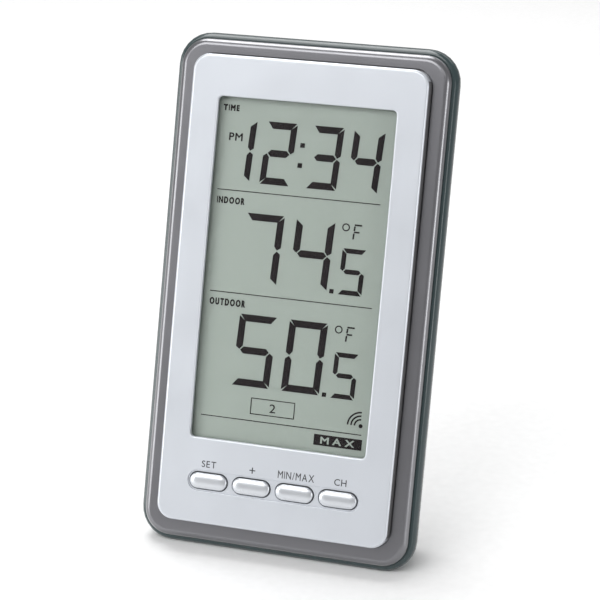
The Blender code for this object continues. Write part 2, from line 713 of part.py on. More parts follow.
def build_battery_wires():
    """From each contact's tail, over and down to the board."""
    tail_y = sum(TAIL_Y) / 2
    tail_end = CAVITY_TOP + TAIL_RISE + GAP
    for name, side, material in (("wire_positive", -1, red_wire), ("wire_negative", 1, black_wire)):
        x, end_x = side * CELL_X, side * WIRE_END_X
        corners = [
            (x, tail_y, tail_end + 0.1 * MM),
            (x, tail_y, tail_end + 2.2 * MM),
            (x + side * 3.0 * MM, tail_y - 0.7 * MM, tail_end + 5.0 * MM),
            (end_x, tail_y - 1.5 * MM, tail_end + 4.0 * MM),
            (end_x, BOARD_BACK + 0.9 * MM, tail_end + 4.0 * MM),
        ]
        route = smooth_route(corners, steps=WIRE_STEPS)
        place(tube(route, WIRE_R), name, material, case)


# ---------------------------------------------------------------- rear cover, door and stand


def side_inset(y):
    """How far the case's tapered side has come in at depth y."""
    return (y - RIM_BACK) * math.tan(LEAN)


def cover_form():
    """The outside of the rear cover: a round rim, tapered sides and a round edge at the back."""
    profile = []
    for step in range(RIM_STEPS + 1):
        angle = math.pi / 2 * step / RIM_STEPS
        depth = RIM_BACK - (RIM_BACK - COVER_FRONT) * math.cos(angle)
        profile.append((RIM_INSET * (1 - math.sin(angle)), depth))
    taper_end = CASE_DEPTH - BACK_EDGE_R * (1 - math.sin(LEAN))
    centre = side_inset(taper_end) + BACK_EDGE_R * math.cos(LEAN)
    for step in range(BACK_EDGE_STEPS + 1):
        angle = LEAN + (math.pi / 2 - LEAN) * step / BACK_EDGE_STEPS
        depth = CASE_DEPTH - BACK_EDGE_R * (1 - math.sin(angle))
        profile.append((centre - BACK_EDGE_R * math.cos(angle), depth))
    return lofted(profile)


def cover_room():
    """The space inside the rear cover's wall."""
    taper_end = COVER_INSIDE - ROOM_CORNER
    inset = COVER_WALL + side_inset(taper_end)
    profile = [(COVER_WALL, COVER_FRONT - PAST), (COVER_WALL, RIM_BACK)]
    profile += [(inset, taper_end), (inset + ROOM_CORNER, COVER_INSIDE)]
    return lofted(profile)


def add_cover_walls(cover):
    """The walls inside the cover: battery tray, stand recess, screw posts and keyhole pocket."""
    into_wall = COVER_INSIDE + OVERLAP
    tray_x = CAVITY_W / 2 + TRAY_WALL
    tray_z = (CAVITY_BOTTOM - TRAY_WALL, CAVITY_TOP + TRAY_WALL)
    join(cover, box((-tray_x, tray_x), (TRAY_FLOOR, into_wall), tray_z))
    recess_x = STAND_W / 2 + RECESS_GAP + RECESS_SIDE_WALL
    recess_z = (RECESS_BOTTOM, CAVITY_BOTTOM - TRAY_WALL + OVERLAP)
    join(cover, box((-recess_x, recess_x), (RECESS_FLOOR - RECESS_WALL, into_wall), recess_z))
    heel_z = (STAND_AXIS_Z - HEEL_POCKET_DEPTH, recess_z[1])
    join(cover, box((-recess_x, recess_x), (heel_stop_y() - RECESS_WALL, into_wall), heel_z))
    for at in CASE_SCREWS:
        join(cover, rod(POST_R, (BOSS_BACK + GAP, into_wall), at))
    pocket_x = KEYHOLE_R + KEYHOLE_WALL
    pocket_z = (KEYHOLE_Z - pocket_x, KEYHOLE_Z + KEYHOLE_RISE + pocket_x)
    join(cover, box((-pocket_x, pocket_x), (KEYHOLE_POCKET_FRONT, into_wall), pocket_z))


def cut_battery_room(cover):
    half = CAVITY_W / 2
    cut(cover, box((-half, half), (CAVITY_FLOOR, BEHIND), (CAVITY_BOTTOM, CAVITY_TOP)))
    opening_z = (CAVITY_BOTTOM - DOOR_MARGIN, CAVITY_TOP + DOOR_MARGIN)
    door_half = half + DOOR_MARGIN
    cut(cover, box((-door_half, door_half), (DOOR_FRONT - GAP, BEHIND), opening_z))
    below_wall = COVER_INSIDE + HOOK_CLEARANCE / 2
    for side in (-1, 1):
        slot_half = HOOK_W / 2 + HOOK_CLEARANCE
        slot_x = (side * HOOK_X - slot_half, side * HOOK_X + slot_half)
        cut(cover, box(slot_x, (HOOK_Y[0] - HOOK_SWING, below_wall), HOOK_SLOT_Z))
        tail_half = TAIL_HALF_W + TAIL_CLEARANCE
        tail_x = (side * CELL_X - tail_half, side * CELL_X + tail_half)
        tail_y = (TAIL_Y[0] - TAIL_CLEARANCE, TAIL_Y[1] + TAIL_CLEARANCE)
        cut(cover, box(tail_x, tail_y, (CAVITY_TOP - PAST, CAVITY_TOP + TAIL_RISE)))
    latch_half = LATCH_W / 2 + GAP
    cut(cover, box((-latch_half, latch_half), (HOOK_Y[0] - GAP, below_wall), LATCH_NOTCH_Z))


def cut_stand_recess(cover):
    """The recess runs out through the case's bottom edge, and is deeper behind the leg's heel."""
    half = STAND_W / 2 + RECESS_GAP
    top = STAND_AXIS_Z + STAND_HEEL + RECESS_GAP
    cut(cover, box((-half, half), (RECESS_FLOOR, BEHIND), (-CASE_H / 2 - PAST, top)))
    heel_bottom = STAND_AXIS_Z - HEEL_POCKET_DEPTH + RECESS_WALL
    cut(cover, box((-half, half), (heel_stop_y(), BEHIND), (heel_bottom, top)))
    reach = 2 * (half + STAND_PIN_REACH)
    cut(cover, bar_x(STAND_PIN_R + GAP, reach, STAND_AXIS_Y, STAND_AXIS_Z, sides=16))


def cut_rear_holes(cover):
    for at in CASE_SCREWS:
        cut(cover, rod(COUNTERBORE_R, (SCREW_SEAT, BEHIND), at))
        shank_range = (BOSS_BACK - PAST, SCREW_SEAT + PAST)
        cut(cover, rod(SCREW_SHANK_R + SHANK_CLEARANCE, shank_range, at, sides=16))
    cut(cover, rod(KEYHOLE_R, (KEYHOLE_FLOOR, BEHIND), (0, KEYHOLE_Z)))
    slot_top = KEYHOLE_Z + KEYHOLE_RISE
    slot_half = KEYHOLE_SLOT / 2
    cut(cover, box((-slot_half, slot_half), (KEYHOLE_FLOOR, BEHIND), (KEYHOLE_Z, slot_top)))
    head_room = (KEYHOLE_Z - KEYHOLE_R, slot_top + KEYHOLE_R)
    cut(cover, box((-KEYHOLE_R, KEYHOLE_R), (KEYHOLE_FLOOR, COVER_INSIDE), head_room))
    for index in range(VENT_COUNT):
        at = (VENT_AT[0], VENT_AT[1] + index * VENT_PITCH)
        cut(cover, slab(*VENT_SIZE, (COVER_INSIDE - PAST, BEHIND), at=at, corner=VENT_CORNER, steps=3))


def build_rear_cover():
    cover = cut(cover_form(), cover_room())
    add_cover_walls(cover)
    cut_battery_room(cover)
    cut_stand_recess(cover)
    cut_rear_holes(cover)
    cut(cover, floor_slab())
    return place(cover, "rear_cover", dark_plastic, case)


def build_battery_door():
    """The door hangs on two hooks, and tips out about its bottom edge once its tongue is freed."""
    width = CAVITY_W + 2 * DOOR_MARGIN - 2 * GAP
    bottom = CAVITY_BOTTOM - DOOR_MARGIN + GAP
    top = CAVITY_TOP + DOOR_MARGIN - GAP
    axis_z = bottom - GAP / 2
    hinge = new_empty("door_hinge", case, (0, CASE_DEPTH, axis_z))

    def from_hinge(obj):
        obj.parent = hinge
        obj.location = (0, -CASE_DEPTH, -axis_z)
        return obj

    door = box((-width / 2, width / 2), (DOOR_FRONT, CASE_DEPTH), (bottom, top))
    from_hinge(door)
    for side in (-1, 1):
        hook_x = (side * HOOK_X - HOOK_W / 2, side * HOOK_X + HOOK_W / 2)
        riser_z = (bottom + HOOK_RISER[0], bottom + HOOK_RISER[1])
        join(door, from_hinge(box(hook_x, (HOOK_Y[0], DOOR_FRONT + OVERLAP), riser_z)))
        join(door, from_hinge(box(hook_x, HOOK_Y, (bottom - HOOK_REACH, riser_z[1]))))
    for side in (-1, 1):
        slit_x = (side * LATCH_W / 2 - LATCH_SLIT / 2, side * LATCH_W / 2 + LATCH_SLIT / 2)
        slit_z = (top - LATCH_H, top + PAST)
        cut(door, from_hinge(box(slit_x, (DOOR_FRONT - PAST, CASE_DEPTH + PAST), slit_z)))
    catch_half = (LATCH_W - LATCH_SLIT) / 2 - OVERLAP / 2
    web_z = (top - CATCH_WEB[0], top - CATCH_WEB[1])
    join(door, from_hinge(box((-catch_half, catch_half), (HOOK_Y[0], DOOR_FRONT + OVERLAP), web_z)))
    join(door, from_hinge(box((-catch_half, catch_half), HOOK_Y, (web_z[0], top + CATCH_REACH))))
    return place(door, "battery_door", dark_plastic, hinge)


def build_stand():
    """A leg on two moulded pins, cut from the form of the case itself, swung out to its stop."""
    hinge = new_empty("stand_hinge", case, (0, STAND_AXIS_Y, STAND_AXIS_Z), stand_open_angle())

    def from_hinge(obj):
        obj.parent = hinge
        obj.location = (0, -STAND_AXIS_Y, -STAND_AXIS_Z)
        return obj

    leg_y = (STAND_AXIS_Y - STAND_T / 2, STAND_AXIS_Y + STAND_T / 2)
    leg_z = (-CASE_H / 2 - PAST, STAND_AXIS_Z + STAND_HEEL)
    stand = from_hinge(box((-STAND_W / 2, STAND_W / 2), leg_y, leg_z))
    combine(stand, from_hinge(cover_form()), "INTERSECT")
    pins = from_hinge(bar_x(STAND_PIN_R, STAND_W + 2 * STAND_PIN_REACH, STAND_AXIS_Y, STAND_AXIS_Z, 16))
    join(stand, pins)
    notch_y = (leg_y[0] - PAST, leg_y[1] + PAST)
    cut(stand, from_hinge(rod(THUMB_NOTCH_R, notch_y, (0, THUMB_NOTCH_Z))))
    cut(stand, floor_slab())
    return place(stand, "stand", dark_plastic, hinge)


# ---------------------------------------------------------------- screws


def build_screw(name, at, seat, head_r, head_h, shank_r, length):
    """A self-tapping screw driven towards the face, with its head's underside at seat."""
    tip = shank_r * 0.4
    profile = [(0, head_h), (head_r * 0.75, head_h), (head_r, head_h * 0.55), (head_r, 0)]
    profile += [(shank_r, 0), (shank_r, -length + 2 * shank_r), (tip, -length), (0, -length)]
    screw = turned(profile, sides=16)
    screw.rotation_euler.x = math.radians(-90)
    screw.location = (at[0], seat, at[1])
    along = (-0.6 * head_r, 0.6 * head_r)
    across = (-CROSS_HALF_W, CROSS_HALF_W)
    depth = (head_h - CROSS_DEPTH, head_h + PAST)
    slots = [box(along, across, depth), box(across, along, depth)]
    for slot in slots:
        slot.rotation_euler = screw.rotation_euler
        slot.location = screw.location
    cut(screw, *slots)
    return place(screw, name, steel, case)


def build_screws():
    case_size = (SCREW_HEAD_R, SCREW_HEAD_H, SCREW_SHANK_R, SCREW_LENGTH)
    for number, at in enumerate(CASE_SCREWS, 1):
        build_screw(f"case_screw_{number}", at, SCREW_SEAT + GAP, *case_size)
    board_size = (BOARD_SCREW_HEAD_R, BOARD_SCREW_HEAD_H, BOARD_SCREW_SHANK_R, BOARD_SCREW_LENGTH)
    for number, at in enumerate(BOARD_SCREWS, 1):
        build_screw(f"board_screw_{number}", at, ON_BOARD, *board_size)


# ---------------------------------------------------------------- how it stands


def height_of(y, z):
    """World height of a point of the case's frame, above the tapered bottom that the case rests on."""
    return (z + CASE_H / 2) * math.cos(LEAN) - (y - RIM_BACK) * math.sin(LEAN)


def stand_open_angle():
    """How far the leg swings out for its tip to come level with the case's foot."""
    tip_y = -STAND_T / 2
    tip_z = -CASE_H / 2 + side_inset(STAND_AXIS_Y + tip_y) - STAND_AXIS_Z
    reach = math.hypot(tip_y, tip_z)
    splay = math.acos(height_of(STAND_AXIS_Y, STAND_AXIS_Z) / reach)
    return LEAN + math.atan2(-tip_y, -tip_z) + splay


def heel_stop_y():
    """Depth of the pocket's floor that the leg's heel meets when the leg is open."""
    angle = stand_open_angle()
    return STAND_AXIS_Y - STAND_T / 2 * math.cos(angle) - STAND_HEEL * math.sin(angle) - GAP


def floor_slab():
    """A slab under the table's plane, which trims the case's foot and the stand's end flat."""
    tool = box((-CASE_W, CASE_W), (-CASE_H, CASE_H), (-CASE_DEPTH, 0))
    tool.parent = floor
    return tool


def stand_on_table():
    """Lifts the leaning case onto Z = 0 and centres its footprint's box on the origin."""
    case.rotation_euler.x = -LEAN
    case.location.z = height_of(0, 0) - FLOOR_TRIM
    bpy.context.view_layer.update()
    graph = bpy.context.evaluated_depsgraph_get()
    depths = []
    for obj in parts.objects:
        if obj.type != "EMPTY":
            shape = obj.evaluated_get(graph)
            depths += [(shape.matrix_world @ vertex.co).y for vertex in shape.to_mesh().vertices]
    case.location.y -= (min(depths) + max(depths)) / 2


clear_scene()
parts = new_collection("max_min_thermometer")
cutters = new_collection("cutters")
case = new_empty("case")
floor = new_empty("floor")

gunmetal = new_material("gunmetal", (0.20, 0.20, 0.22), 0.35, 0.6)
silver = new_material("silver", (0.70, 0.73, 0.78), 0.40, 0.3)
dark_plastic = new_material("dark_plastic", (0.045, 0.06, 0.062), 0.25)
black_plastic = new_material("black_plastic", (0.02, 0.02, 0.02), 0.5)
clear_acrylic = new_material("clear_acrylic", (0.9, 0.95, 0.95), 0.02)
lcd_glass = new_material("lcd_glass", (0.38, 0.44, 0.38), 0.15)
lcd_back = new_material("lcd_back", (0.60, 0.62, 0.60), 0.4, 0.5)
rubber = new_material("rubber", (0.30, 0.30, 0.31), 0.8)
zebra_rubber = new_material("zebra_rubber", (0.65, 0.45, 0.5), 0.8)
board_green = new_material("board_green", (0.03, 0.20, 0.08), 0.4)
nickel = new_material("nickel", (0.70, 0.68, 0.64), 0.25, 1.0)
steel = new_material("steel", (0.55, 0.55, 0.56), 0.3, 1.0)
copper = new_material("copper", (0.75, 0.36, 0.18), 0.3, 1.0)
battery_jacket = new_material("battery_jacket", (0.10, 0.14, 0.22), 0.3, 0.3)
red_wire = new_material("red_wire", (0.60, 0.03, 0.02), 0.5)
black_wire = new_material("black_wire", (0.02, 0.02, 0.02), 0.5)

build_front_bezel()
build_face_panel()
for key_index, key_name in enumerate(KEY_NAMES):
    build_key(key_index, key_name)
build_keypad()
build_display()
build_main_board()
build_board_parts()
build_thermistor()
build_batteries()
build_battery_wires()
build_rear_cover()
build_battery_door()
build_stand()
build_screws()
stand_on_table()
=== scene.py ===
"""Looks of the digital maximum and minimum thermometer: its finishes, its printed and displayed
marks, and the fine form of the surfaces that a viewer meets first.

Pieces are modelled in the leaning case's own frame: X to the viewer's right, Y from the face into
the case and Z up the case, with the origin at the middle of the face panel's front. CASE turns
that frame into the world's. Sizes are in millimetres, turned into metres by MM.
"""

import json
import math

import bmesh
import bpy
from mathutils import Matrix, Vector


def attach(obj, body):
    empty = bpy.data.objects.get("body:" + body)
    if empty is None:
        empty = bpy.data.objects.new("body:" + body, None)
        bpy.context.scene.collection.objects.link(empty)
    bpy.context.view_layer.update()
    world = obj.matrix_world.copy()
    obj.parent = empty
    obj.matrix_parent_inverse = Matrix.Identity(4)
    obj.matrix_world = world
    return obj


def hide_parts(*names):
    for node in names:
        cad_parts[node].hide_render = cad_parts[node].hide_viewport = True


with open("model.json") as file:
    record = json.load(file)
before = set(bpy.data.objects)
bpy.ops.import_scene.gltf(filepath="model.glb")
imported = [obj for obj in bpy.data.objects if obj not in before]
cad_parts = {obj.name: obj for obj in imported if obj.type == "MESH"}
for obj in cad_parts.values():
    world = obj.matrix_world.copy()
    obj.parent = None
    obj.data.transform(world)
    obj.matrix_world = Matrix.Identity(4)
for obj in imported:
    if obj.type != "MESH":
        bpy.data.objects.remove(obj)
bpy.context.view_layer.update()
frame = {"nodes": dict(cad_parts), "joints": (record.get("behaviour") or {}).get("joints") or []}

MM = 0.001

# Camera, from the front of the case: turned to the right, raised, and rolled a little
VIEW_TURN = math.radians(15.89)
VIEW_RISE = math.radians(4.95)
VIEW_ROLL = math.radians(5.11)
VIEW_AIM = Vector((3.06, 0, 0.28)) * MM
VIEW_DISTANCE = 544.7 * MM
LENS = 120

# Face panel; a bow is how far its upright and its level sides swell outwards at their middles
PANEL_CORNER = 4.5 * MM
PANEL_WALL = 1.2 * MM
PANEL_BOW = (0.12 * MM, 0.05 * MM)
PANEL_EDGE = 0.75 * MM
SIDE_BAND = 0.3 * MM  # faces that lie this near the outline are the panel's sides
WINDOW_W = 50.4 * MM
WINDOW_H = 94.5 * MM
WINDOW_CORNER = 1.2 * MM
WINDOW_LIP = 0.45 * MM
WINDOW_BOW = (0.15 * MM, 0)
CHANNEL_W = 49.4 * MM
CHANNEL_H = 5.8 * MM
CHANNEL_DEPTH = 0.35 * MM
CHANNEL_LIP = 0.16 * MM
HOLE_EDGE = 0.06 * MM
CAPSULE_FLAT = 0.02 * MM  # left straight at a capsule's ends, so that no two points meet

# Keys
KEY_W = 10.7 * MM
KEY_H = 4.4 * MM
KEY_GAP = 0.3 * MM
KEY_WALL = 0.25 * MM
KEY_FOOT = 1.5 * MM
KEY_STEPS = 12
KEY_CROWN = 0.985  # the share of the height over which the top curves in
KEY_ROUND = 0.99  # the share of half the height that the ends' radius takes

# Bezel
BEZEL_CORNER = 7.4 * MM
BEZEL_FRONT = 3.6 * MM
BEZEL_BACK = 5.6 * MM
BEZEL_SHOULDER = 1.9 * MM
PLATE_BACK = 5.4 * MM
LIP_BACK = 8.8 * MM
LIP_INSET = 0.5 * MM
LIP_WALL = 0.95 * MM
GROOVE_FLOOR = 4.6 * MM
GROOVE_GAP = 0.3 * MM
GROOVE_EDGE = 0.12 * MM
PLATEAU_FRONT = 3.2 * MM
LENS_OPENING = (56.6 * MM, 102.6 * MM)
KEY_OPENING = (7 * MM, 4.4 * MM)
OPENING_CORNER = 0.5 * MM

# Screw bosses, in millimetres: each kind's radius, bore and back end
BOSSES = {"case": (2.9, 1.45, 13.5), "board": (2.0, 1.1, 7.7)}
BOSS_FRONT = 5.3
BORE_FRONT = 5.9
BOSS_SIDES = 24

# Band on the cells, and the grip on the battery door: its ridges in millimetres, from the top edge
BAND = 13 * MM
RIDGE_Z = (-6.2, -5.0, -3.8, -2.6)
RIDGE_W = 5.2
RIDGE_H = 0.5
RIDGE_RISE = 0.35 * MM
RIDGE_ROOT = 0.05 * MM

# Finishes
WEAR = 14 * MM  # across a patch of wear
LENS_WAVE = 9 * MM  # across a wave in the lens
END_TILT = 0.3  # how far a cell's end face looks up or down, from 0 to 1
FLAT_ANGLE = math.radians(0.4)  # faces that meet at less are one flat
CREASE_ANGLE = math.radians(26)  # faces that meet at more have a crisp edge

# Marks
PRINT_FRONT = -0.02 * MM
PRINT_T = 0.03 * MM
MARK_T = 0.03 * MM
HAIR = 0.01  # millimetres or degrees; keeps marks that meet from sharing an edge

# The display's figures by the segments that they light, and its middle from the panel's
LIT = {"0": "abcdef", "1": "bc", "2": "abged", "3": "abgcd", "4": "fgbc", "5": "afgcd", "7": "abc"}
DISPLAY_SHIFT = Vector((-0.66, 0, -0.2)) * MM
DISPLAY_SCALE = (1.0043, 1, 1.0043, 1)
DISPLAY_SET_BACK = 0.08 * MM  # from the middle of the gap between the lens and the glass

# Layout of the display, in millimetres from its middle; a digit is its width, bar, post and slant.
# A reading has its name, figures, lowest and highest Z and the right end of its second figure.
TIME_RIGHTS = (-13.4, -1.9, 11.3, 22.7)
TIME_Z = (30.7, 47.8)
TIME_DIGIT = (8.6, 1.9, 1.75, 0.06)
COLON = (((-0.8, 0.5), (41.5, 42.75)), ((-1.1, 0.2), (36.0, 37.3)))
READINGS = (("indoor", "74", (3.2, 22.5), 11.05), ("outdoor", "50", (-25.1, -5.3), 11.6))
READING_DIGIT = (10.9, 1.95, 1.95, 0.045)
READING_PITCH = 14.35
TENTH_DIGIT = (6.8, 1.3, 1.3, 0.035)
TENTH_RIGHT = 9.45
TENTH_TOP = 12.4
POINT_X = (-0.05, 1.15)
POINT_Z = (-0.2, 1.0)
DOT_LEAN = 0.05
DEGREE_AT = (3.05, -1.25)
DEGREE_RING = (0.92, 0.33)
F_LEFT = 5.1
F_Z = (-4.3, -0.2)
LINES = (((-23.3, 23.0), 28.2), ((-22.9, 23.3), 0.15), ((-22.5, 23.6), -34.45))
LINE_HALF = 0.12
CHANNEL_BOX = (-8.4, 4.3, -32.6, -28.0)
CHANNEL_BOX_LINE = 0.24
RADIO_AT = (23.2, -32.0)
RADIO_DOT = 0.56
RADIO_ARCS = (1.75, 2.72, 3.7)
RADIO_ARC_W = 0.44
BADGE = ((10.4, 24.0), (-38.7, -35.7))


# ---------------------------------------------------------------- the case's frame


def lean_of_case():
    key = next(joint for joint in frame["joints"] if joint["name"] == "set_key_press")
    return math.atan2(-key["axis"][2], key["axis"][1])


def box_within(node, matrix):
    """Lowest and highest corners of a CAD node in the frame that matrix stands for."""
    inverse = matrix.inverted()
    points = [inverse @ vertex.co for vertex in frame["nodes"][node].data.vertices]
    return Vector(map(min, zip(*points))), Vector(map(max, zip(*points)))


def case_matrix():
    turn = Matrix.Rotation(-lean_of_case(), 4, "X")
    low, high = box_within("face_panel", turn)
    return turn @ Matrix.Translation(((low.x + high.x) / 2, low.y, (low.z + high.z) / 2))


CASE = case_matrix()


def node_box(node):
    return box_within(node, CASE)


def node_middle(node):
    low, high = node_box(node)
    return (low + high) / 2


# ---------------------------------------------------------------- materials


def new_nodes(name):
    material = bpy.data.materials.new(name)
    material.use_nodes = True
    tree = material.node_tree
    return material, tree, tree.nodes["Principled BSDF"]


def noise(tree, size, detail=2.0, stretch=(1, 1, 1)):
    """Noise in the piece's own coordinates, whose grains are about size across."""
    place = tree.nodes.new("ShaderNodeTexCoord")
    mapping = tree.nodes.new("ShaderNodeMapping")
    mapping.inputs["Scale"].default_value = stretch
    texture = tree.nodes.new("ShaderNodeTexNoise")
    texture.inputs["Scale"].default_value = 1 / size
    texture.inputs["Detail"].default_value = detail
    tree.links.new(place.outputs["Object"], mapping.inputs["Vector"])
    tree.links.new(mapping.outputs["Vector"], texture.inputs["Vector"])
    return texture.outputs["Fac"]


def span(tree, factor, low, high, start=0.3, end=0.7):
    """Spreads a factor between two values."""
    spread = tree.nodes.new("ShaderNodeMapRange")
    spread.inputs["From Min"].default_value = start
    spread.inputs["From Max"].default_value = end
    spread.inputs["To Min"].default_value = low
    spread.inputs["To Max"].default_value = high
    tree.links.new(factor, spread.inputs["Value"])
    return spread.outputs["Result"]


def blend_colours(tree, factor, first, second):
    mix = tree.nodes.new("ShaderNodeMix")
    mix.data_type = "RGBA"
    tree.links.new(factor, mix.inputs["Factor"])
    for socket, colour in ((mix.inputs[6], first), (mix.inputs[7], second)):
        if isinstance(colour, bpy.types.NodeSocket):
            tree.links.new(colour, socket)
        else:
            socket.default_value = (*colour, 1)
    return mix.outputs[2]


def add_bump(tree, shader, height, distance, strength=1.0):
    bump = tree.nodes.new("ShaderNodeBump")
    bump.inputs["Distance"].default_value = distance
    bump.inputs["Strength"].default_value = strength
    tree.links.new(height, bump.inputs["Height"])
    tree.links.new(bump.outputs["Normal"], shader.inputs["Normal"])


def shade(colour, share):
    return tuple(min(1.0, value * share) for value in colour)


def finish_material(
    name,
    colour,
    rough,
    metallic=0.0,
    grain=0.2 * MM,
    bump=0.004 * MM,
    vary=0.08,
    coat=0.0,
    specular=0.5,
):
    """A moulded or painted finish: fine grain in its colour, bump and gloss, and broad soft wear."""
    material, tree, shader = new_nodes(name)
    fine = noise(tree, grain)
    broad = noise(tree, WEAR, 4)
    dark, light = shade(colour, 1 - vary), shade(colour, 1 + vary)
    toned = blend_colours(tree, span(tree, fine, 0, 1), dark, light)
    handled = blend_colours(tree, span(tree, broad, 0, 0.35), toned, dark)
    tree.links.new(handled, shader.inputs["Base Color"])
    tree.links.new(span(tree, broad, rough[0], rough[1]), shader.inputs["Roughness"])
    add_bump(tree, shader, fine, bump)
    shader.inputs["Metallic"].default_value = metallic
    shader.inputs["Coat Weight"].default_value = coat
    shader.inputs["Coat Roughness"].default_value = 0.12
    shader.inputs["Specular IOR Level"].default_value = specular
    return material


def clear_material():
    material, tree, shader = new_nodes("clear_window")
    broad = noise(tree, LENS_WAVE, 3)
    tree.links.new(span(tree, broad, 0.01, 0.04), shader.inputs["Roughness"])
    add_bump(tree, shader, broad, 0.002 * MM)
    shader.inputs["Transmission Weight"].default_value = 1.0
    shader.inputs["IOR"].default_value = 1.22
    return material


def banded(name, end, towards):
    """A cell's jacket, with a copper-coloured band that runs to its positive end."""
    material = finish_material(name, (0.05, 0.085, 0.15), (0.2, 0.3), 0.5, 0.2 * MM, 0.001 * MM, 0.1)
    tree = material.node_tree
    shader = tree.nodes["Principled BSDF"]
    jacket = shader.inputs["Base Color"].links[0].from_socket
    place = tree.nodes.new("ShaderNodeTexCoord")
    along = tree.nodes.new("ShaderNodeVectorMath")
    along.operation = "DOT_PRODUCT"
    along.inputs[1].default_value = towards
    beyond = tree.nodes.new("ShaderNodeMath")
    beyond.operation = "GREATER_THAN"
    beyond.inputs[1].default_value = end.dot(towards) - BAND
    tree.links.new(place.outputs["Object"], along.inputs[0])
    tree.links.new(along.outputs["Value"], beyond.inputs[0])
    colour = blend_colours(tree, beyond.outputs["Value"], jacket, (0.55, 0.27, 0.12))
    tree.links.new(colour, shader.inputs["Base Color"])
    return material


def display_material():
    """The liquid crystal's pale grey-green, with the fine mottle of its reflector."""
    return finish_material(
        "display_green", (0.29, 0.336, 0.302), (0.35, 0.5), grain=0.35 * MM, bump=0.003 * MM, vary=0.035
    )


# ---------------------------------------------------------------- shapes


def outline(width, height, corner, at=(0, 0), bow=(0, 0), steps=10, side=8):
    """Points round a rectangle with round corners, whose long sides may bow outwards."""
    half_w, half_h = width / 2, height / 2
    points = []
    for turn, (x, z) in enumerate(((1, 1), (-1, 1), (-1, -1), (1, -1))):
        for step in range(steps + 1):
            angle = math.pi / 2 * (turn + step / steps)
            along_x = x * (half_w - corner) + corner * math.cos(angle)
            points.append((along_x, z * (half_h - corner) + corner * math.sin(angle)))
        here = points[-1]
        next_x, next_z = ((-1, 1), (-1, -1), (1, -1), (1, 1))[turn]
        upright = turn % 2
        there_x = next_x * (half_w if upright else half_w - corner)
        there_z = next_z * (half_h - corner if upright else half_h)
        for step in range(1, side):
            share = step / side
            points.append((here[0] + (there_x - here[0]) * share, here[1] + (there_z - here[1]) * share))
    bowed = []
    for x, z in points:
        out_x = 1 + bow[0] / half_w * (1 - (z / half_h) ** 2)
        out_z = 1 + bow[1] / half_h * (1 - (x / half_w) ** 2)
        bowed.append((at[0] + x * out_x, at[1] + z * out_z))
    return bowed


def loft(bm, rings):
    """Joins rings of (points, depth) with faces, and returns the rings' vertices."""
    loops = [[bm.verts.new((x, y, z)) for x, z in points] for points, y in rings]
    for near, far in zip(loops, loops[1:]):
        quads = zip(near, near[1:] + near[:1], far[1:] + far[:1], far)
        for quad in quads:
            bm.faces.new(quad)
    return loops


def wrap(loop):
    """Each vertex of a closed loop with the next."""
    return zip(loop, loop[1:] + loop[:1])


def fill(bm, *loops):
    """A flat face between closed loops: the first is its outline and the others its holes."""
    edges = []
    for loop in loops:
        edges += [bm.edges.get(pair) for pair in wrap(loop)]
    bmesh.ops.triangle_fill(bm, use_beauty=True, edges=edges)


def piece_from(bm, name, *materials):
    bmesh.ops.recalc_face_normals(bm, faces=bm.faces)
    mesh = bpy.data.meshes.new(name)
    bm.to_mesh(mesh)
    bm.free()
    for material in materials:
        mesh.materials.append(material)
    obj = bpy.data.objects.new(name, mesh)
    bpy.context.scene.collection.objects.link(obj)
    return obj


def smooth(obj, angle=40):
    obj.data.shade_smooth()
    obj.data.set_sharp_from_angle(angle=math.radians(angle))
    weighted = obj.modifiers.new("normals", "WEIGHTED_NORMAL")
    weighted.keep_sharp = True
    return obj


def settle(obj, body, slot, *replaced):
    """Takes a piece from the case's frame into the world and hands it to its body."""
    obj.matrix_world = CASE @ obj.matrix_world
    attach(obj, body)
    if replaced:
        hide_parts(*replaced)
    return obj


def arc(inset, depth, radius, steps):
    """(inset, depth) pairs of a quarter round, from the side wall at depth to the front face."""
    pairs = []
    for step in range(steps + 1):
        angle = math.pi / 2 * step / steps
        pairs.append((inset + radius * (1 - math.cos(angle)), depth - radius * math.sin(angle)))
    return pairs


# ---------------------------------------------------------------- camera, floor and light


def make_camera():
    camera = bpy.data.objects.new("camera", bpy.data.cameras.new("camera"))
    bpy.context.scene.collection.objects.link(camera)
    camera.data.lens = LENS
    camera.data.sensor_width = 36
    aim = Matrix.Translation(VIEW_AIM)
    turn = Matrix.Rotation(VIEW_TURN, 4, "Z")
    tilt = Matrix.Rotation(math.pi / 2 - VIEW_RISE, 4, "X")
    roll = Matrix.Rotation(VIEW_ROLL, 4, "Z")
    back = Matrix.Translation((0, 0, VIEW_DISTANCE))
    camera.matrix_world = CASE @ aim @ turn @ tilt @ roll @ back
    bpy.context.scene.camera = camera


def make_floor():
    bm = bmesh.new()
    bmesh.ops.create_grid(bm, x_segments=2, y_segments=2, size=6)
    floor = piece_from(bm, "floor", floor_white)


def area_light(name, location, size, power, aim=(0, 0, 0.07)):
    light = bpy.data.lights.new(name, "AREA")
    light.shape = "RECTANGLE"
    light.size, light.size_y = size
    light.energy = power
    lamp = bpy.data.objects.new(name, light)
    bpy.context.scene.collection.objects.link(lamp)
    lamp.location = location
    lamp.rotation_euler = (Vector(location) - Vector(aim)).to_track_quat("Z", "Y").to_euler()
    lamp.visible_camera = False


